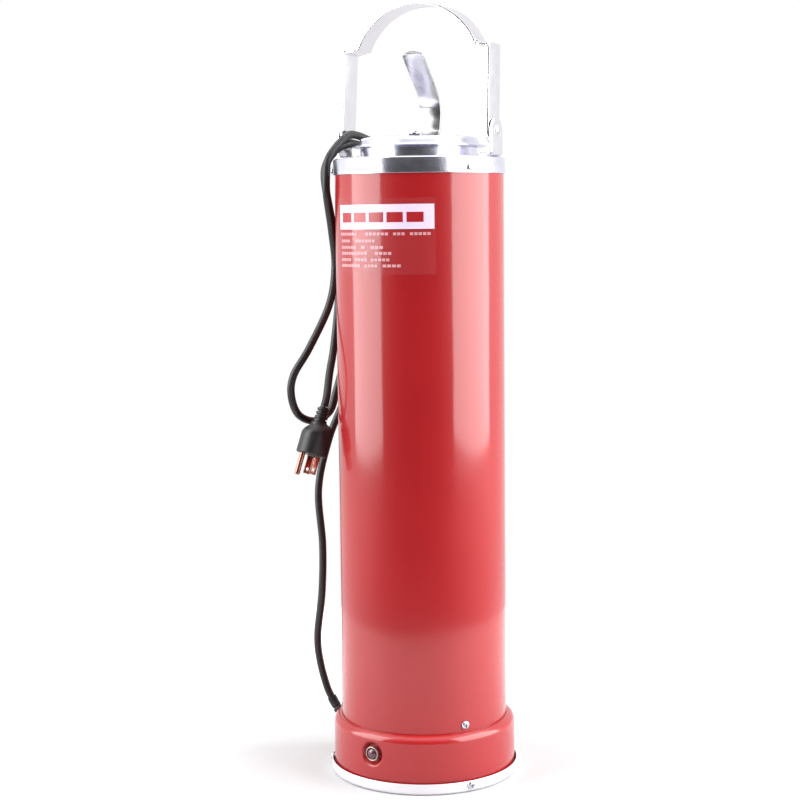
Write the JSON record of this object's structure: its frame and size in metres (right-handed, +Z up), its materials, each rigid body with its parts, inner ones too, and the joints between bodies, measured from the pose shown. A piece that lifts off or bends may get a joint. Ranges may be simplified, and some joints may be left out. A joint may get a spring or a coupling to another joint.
{
  "type": "portable welding rod dryer",
  "caption": "Upright heated canister for welding rods: red cylinder, aluminium lid with strap grip, swinging strip bail, base with pilot lamp and a hung mains lead.",
  "frame": {"origin": "centre of the bottom pan's underside, on the canister's axis", "axes": "+Z up along the canister, +X along the bail's pivots towards the ear away from the hung lead, -Y to the front with the label and the pilot lamp"},
  "size_m": [0.2019, 0.1704, 0.6885],
  "materials": {
    "red_paint": "semi-gloss",
    "spun_aluminium": "satin",
    "pan_aluminium": "matte",
    "strip_aluminium": "satin",
    "inner_steel": "brushed",
    "zinc_fastener": "zinc plated",
    "nickel_bezel": "polished",
    "brass_pin": "polished",
    "cord_jacket": "satin",
    "plug_moulding": "matte",
    "gland_rubber": "matte",
    "lamp_lens": "gloss",
    "bakelite": "semi-gloss",
    "porcelain": "glazed",
    "wire_sleeve": "braided",
    "mica_band": "matte",
    "mineral_wool": "fibrous",
    "label_film": "gloss"
  },
  "bodies": {
    "canister": {"casing": "red_paint", "base_cover": "red_paint", "lamp_recess": "red_paint", "top_ring": "spun_aluminium", "bottom_pan": "pan_aluminium", "bail_ear_left": "strip_aluminium", "bail_ear_right": "strip_aluminium", "inner_tube": "inner_steel", "rod_rest": "inner_steel", "bulkhead": "inner_steel", "heater_band_lower": "mica_band", "heater_band_upper": "mica_band", "insulation_sleeve": "mineral_wool", "insulation_floor": "mineral_wool", "terminal_block": "porcelain", "thermostat": "bakelite", "heater_lead": "wire_sleeve", "lamp_lead": "wire_sleeve", "mains_core": "wire_sleeve", "lamp_bezel": "nickel_bezel", "lamp_lens": "lamp_lens", "lamp_body": "bakelite", "cord_gland": "gland_rubber", "power_cord": "cord_jacket", "plug_relief": "plug_moulding", "plug_body": "plug_moulding", "plug_blade_left": "brass_pin", "plug_blade_right": "brass_pin", "plug_ground_pin": "brass_pin", "pivot_rivet_left": "zinc_fastener", "pivot_rivet_right": "zinc_fastener", "pivot_washer_left": "zinc_fastener", "pivot_washer_right": "zinc_fastener", "ear_rivet_left_1": "zinc_fastener", "ear_rivet_left_2": "zinc_fastener", "ear_rivet_right_1": "zinc_fastener", "ear_rivet_right_2": "zinc_fastener", "rim_screw_1": "zinc_fastener", "rim_screw_2": "zinc_fastener", "rim_screw_3": "zinc_fastener", "casing_screw_1": "zinc_fastener", "casing_screw_2": "zinc_fastener", "casing_screw_3": "zinc_fastener", "pan_screw_1": "zinc_fastener", "pan_screw_2": "zinc_fastener", "pan_screw_3": "zinc_fastener", "rating_label": "label_film"},
    "lid": {"lid_cover": "spun_aluminium", "lid_cup": "spun_aluminium", "lid_insulation": "mineral_wool", "lid_handle": "strip_aluminium", "lid_screw": "zinc_fastener", "lid_nut": "zinc_fastener"},
    "bail": {"bail_handle": "strip_aluminium"}
  },
  "joints": [
    {"name": "bail_swing", "type": "hinge", "parent": "canister", "child": "bail", "pos_m": [0, 0, 0.5756], "axis": [1, 0, 0], "range_deg": [-90, 35]},
    {"name": "lid_lift", "type": "slide", "parent": "canister", "child": "lid", "axis": [0, 0, 1], "range_m": [0, 0.032]}
  ]
}
